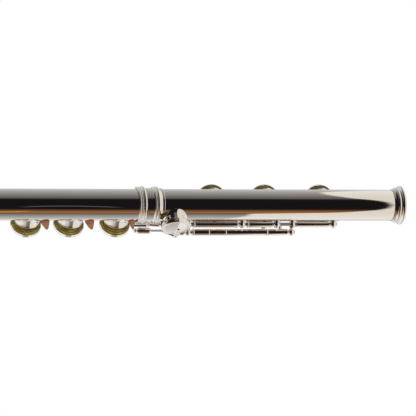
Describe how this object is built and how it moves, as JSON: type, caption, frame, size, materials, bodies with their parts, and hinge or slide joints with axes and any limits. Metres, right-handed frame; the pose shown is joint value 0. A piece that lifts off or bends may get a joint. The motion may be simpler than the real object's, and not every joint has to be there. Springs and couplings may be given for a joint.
{
  "type": "flute",
  "caption": "Transverse concert flute with a low B foot joint: sliding head joint with lip plate, turning foot joint, padded plateau keys on hinge lines, and foot levers with rollers.",
  "frame": {"origin": "middle of the bounding box, at its bottom", "axes": "+X along the bore towards the foot's open end, +Z out of the body's key cups, +Y away from the main hinge line"},
  "size_m": [0.708, 0.0432, 0.0439],
  "materials": {
    "silver": "polished",
    "steel": "ground",
    "pad_skin": "smooth skin over felt",
    "cork": "cut cork"
  },
  "bodies": {
    "body": {"body_tube": "silver", "barrel": "silver", "main_rib": "silver", "thumb_rib": "silver", "g_sharp_rib": "silver", "right_hand_steel": "steel", "left_hand_steel": "steel", "thumb_steel": "steel", "g_sharp_steel": "steel", "cork_wedge_upper": "cork", "cork_wedge_middle": "cork", "cork_wedge_lower": "cork"},
    "head": {"head_tube": "silver", "lip_plate": "silver"},
    "crown": {"crown": "silver"},
    "stopper": {"stopper_rod": "silver", "stopper_cork": "cork"},
    "foot": {"foot_tube": "silver", "foot_receiver": "silver", "foot_end_ring": "silver", "foot_rib": "silver", "foot_inner_steel": "steel"},
    "d_key": {"d_key": "silver", "d_key_pad": "pad_skin"},
    "e_key": {"e_key": "silver", "e_key_pad": "pad_skin"},
    "f_key": {"f_key": "silver", "f_key_pad": "pad_skin"},
    "f_sharp_key": {"f_sharp_key": "silver", "f_sharp_key_pad": "pad_skin"},
    "g_key": {"g_key": "silver", "g_key_lower_pad": "pad_skin", "g_key_upper_pad": "pad_skin"},
    "b_flat_key": {"b_flat_key": "silver", "b_flat_key_pad": "pad_skin"},
    "a_key": {"a_key": "silver", "a_key_pad": "pad_skin"},
    "c_sharp_key": {"c_sharp_key": "silver", "c_sharp_key_pad": "pad_skin"},
    "d_trill_key": {"d_trill_key": "silver", "d_trill_pad": "pad_skin"},
    "d_sharp_trill_key": {"d_sharp_trill_key": "silver", "d_sharp_trill_pad": "pad_skin"},
    "g_sharp_key": {"g_sharp_key": "silver", "g_sharp_pad": "pad_skin"},
    "thumb_b_key": {"thumb_b_key": "silver", "thumb_key_pad": "pad_skin"},
    "thumb_b_flat_key": {"thumb_b_flat_key": "silver"},
    "d_sharp_key": {"d_sharp_key": "silver", "d_sharp_pad": "pad_skin"},
    "c_sharp_foot_key": {"c_sharp_foot_key": "silver", "c_sharp_foot_pad": "pad_skin"},
    "low_c_key": {"low_c_key": "silver", "low_c_pad": "pad_skin"},
    "low_b_key": {"low_b_key": "silver", "low_b_pad": "pad_skin"},
    "low_c_lever": {"low_c_lever": "silver"},
    "low_b_lever": {"low_b_lever": "silver"},
    "low_c_roller": {"low_c_roller": "silver"},
    "low_b_roller": {"low_b_roller": "silver"}
  },
  "joints": [
    {"name": "head_slide", "type": "slide", "parent": "body", "child": "head", "axis": [-1, 0, 0], "range_m": [-0.005, 0.012]},
    {"name": "crown_turn", "type": "hinge", "parent": "head", "child": "crown", "pos_m": [-0.346, 0.00283, 0.01948], "axis": [1, 0, 0], "range_deg": [-360, 360]},
    {"name": "stopper_slide", "type": "slide", "parent": "head", "child": "stopper", "axis": [1, 0, 0], "range_m": [-0.00071, 0.00071]},
    {"name": "foot_twist", "type": "hinge", "parent": "body", "child": "foot", "pos_m": [0.187, 0.00283, 0.01948], "axis": [1, 0, 0], "range_deg": [-20, 20]},
    {"name": "d_key_turn", "type": "hinge", "parent": "body", "child": "d_key", "pos_m": [0.162, -0.00921, 0.027], "axis": [1, 0, 0], "range_deg": [-12, 0], "stiffness_Nm_per_rad": 0.02, "springref_deg": 20.05},
    {"name": "e_key_turn", "type": "hinge", "parent": "body", "child": "e_key", "pos_m": [0.139, -0.00921, 0.027], "axis": [1, 0, 0], "range_deg": [-12, 0], "stiffness_Nm_per_rad": 0.02, "springref_deg": 20.05},
    {"name": "f_key_turn", "type": "hinge", "parent": "body", "child": "f_key", "pos_m": [0.107, -0.00921, 0.027], "axis": [1, 0, 0], "range_deg": [-12, 0], "stiffness_Nm_per_rad": 0.02, "springref_deg": 20.05},
    {"name": "f_sharp_key_turn", "type": "hinge", "parent": "body", "child": "f_sharp_key", "pos_m": [0.082, -0.00921, 0.027], "axis": [1, 0, 0], "range_deg": [-12, 0], "stiffness_Nm_per_rad": 0.02, "springref_deg": 20.05},
    {"name": "g_key_turn", "type": "hinge", "parent": "body", "child": "g_key", "pos_m": [0.043, -0.00921, 0.027], "axis": [1, 0, 0], "range_deg": [-12, 0], "stiffness_Nm_per_rad": 0.02, "springref_deg": 20.05},
    {"name": "b_flat_key_turn", "type": "hinge", "parent": "body", "child": "b_flat_key", "pos_m": [0.01, -0.00921, 0.027], "axis": [1, 0, 0], "range_deg": [-12, 0], "stiffness_Nm_per_rad": 0.02, "springref_deg": 20.05},
    {"name": "a_key_turn", "type": "hinge", "parent": "body", "child": "a_key", "pos_m": [-0.011, -0.00921, 0.027], "axis": [1, 0, 0], "range_deg": [-12, 0], "stiffness_Nm_per_rad": 0.02, "springref_deg": 20.05},
    {"name": "c_sharp_key_turn", "type": "hinge", "parent": "body", "child": "c_sharp_key", "pos_m": [-0.044, -0.00921, 0.027], "axis": [1, 0, 0], "range_deg": [-10, 0], "stiffness_Nm_per_rad": 0.02, "springref_deg": 20.05},
    {"name": "d_trill_key_turn", "type": "hinge", "parent": "body", "child": "d_trill_key", "pos_m": [0.024, -0.01143, 0.02148], "axis": [1, 0, 0], "range_deg": [0, 8], "stiffness_Nm_per_rad": 0.02, "springref_deg": -20.05},
    {"name": "d_sharp_trill_key_turn", "type": "hinge", "parent": "body", "child": "d_sharp_trill_key", "pos_m": [0.029, -0.01143, 0.02148], "axis": [1, 0, 0], "range_deg": [0, 8], "stiffness_Nm_per_rad": 0.02, "springref_deg": -20.05},
    {"name": "g_sharp_key_turn", "type": "hinge", "parent": "body", "child": "g_sharp_key", "pos_m": [0.049, 0.01269, 0.00926], "axis": [1, 0, 0], "range_deg": [-9, 0], "stiffness_Nm_per_rad": 0.02, "springref_deg": 20.05},
    {"name": "thumb_b_key_turn", "type": "hinge", "parent": "body", "child": "thumb_b_key", "pos_m": [-0.026, 0.01353, 0.00984], "axis": [1, 0, 0], "range_deg": [-9, 0], "stiffness_Nm_per_rad": 0.02, "springref_deg": 20.05},
    {"name": "thumb_b_flat_key_turn", "type": "hinge", "parent": "body", "child": "thumb_b_flat_key", "pos_m": [-0.004, 0.01353, 0.00984], "axis": [1, 0, 0], "range_deg": [-9, 0], "stiffness_Nm_per_rad": 0.02, "springref_deg": 20.05},
    {"name": "d_sharp_key_turn", "type": "hinge", "parent": "foot", "child": "d_sharp_key", "pos_m": [0.205, 0.00624, 0.03223], "axis": [1, 0, 0], "range_deg": [0, 10], "stiffness_Nm_per_rad": 0.02, "springref_deg": -20.05},
    {"name": "c_sharp_foot_key_turn", "type": "hinge", "parent": "foot", "child": "c_sharp_foot_key", "pos_m": [0.232, 0.00624, 0.03223], "axis": [1, 0, 0], "range_deg": [0, 10], "stiffness_Nm_per_rad": 0.02, "springref_deg": -20.05},
    {"name": "low_c_lever_turn", "type": "hinge", "parent": "foot", "child": "low_c_lever", "pos_m": [0.241, 0.00769, 0.03764], "axis": [1, 0, 0], "range_deg": [0, 8], "stiffness_Nm_per_rad": 0.02, "springref_deg": -20.05},
    {"name": "low_c_key_turn", "type": "hinge", "parent": "foot", "child": "low_c_key", "pos_m": [0.261, 0.00624, 0.03223], "axis": [1, 0, 0], "range_deg": [0, 10], "stiffness_Nm_per_rad": 0.02, "springref_deg": -20.05},
    {"name": "low_b_lever_turn", "type": "hinge", "parent": "foot", "child": "low_b_lever", "pos_m": [0.244, 0.00769, 0.03764], "axis": [1, 0, 0], "range_deg": [0, 8], "stiffness_Nm_per_rad": 0.02, "springref_deg": -20.05},
    {"name": "low_b_key_turn", "type": "hinge", "parent": "foot", "child": "low_b_key", "pos_m": [0.296, 0.00624, 0.03223], "axis": [1, 0, 0], "range_deg": [0, 10], "stiffness_Nm_per_rad": 0.02, "springref_deg": -20.05},
    {"name": "low_c_roller_turn", "type": "hinge", "parent": "low_c_lever", "child": "low_c_roller", "pos_m": [0.188, -0.00407, 0.03952], "axis": [1, 0, 0], "continuous": true},
    {"name": "low_b_roller_turn", "type": "hinge", "parent": "low_b_lever", "child": "low_b_roller", "pos_m": [0.188, 0.00067, 0.04188], "axis": [1, 0, 0], "continuous": true}
  ],
  "couplings": [
    {"joint": "stopper_slide", "follows": "crown_turn", "m_per_rad": 0.00011141},
    {"joint": "f_sharp_key_turn", "follows": "f_key_turn", "ratio": 1},
    {"joint": "b_flat_key_turn", "follows": "a_key_turn", "ratio": 1},
    {"joint": "low_c_key_turn", "follows": "low_c_lever_turn", "ratio": 1.25},
    {"joint": "low_b_key_turn", "follows": "low_b_lever_turn", "ratio": 1.25}
  ]
}
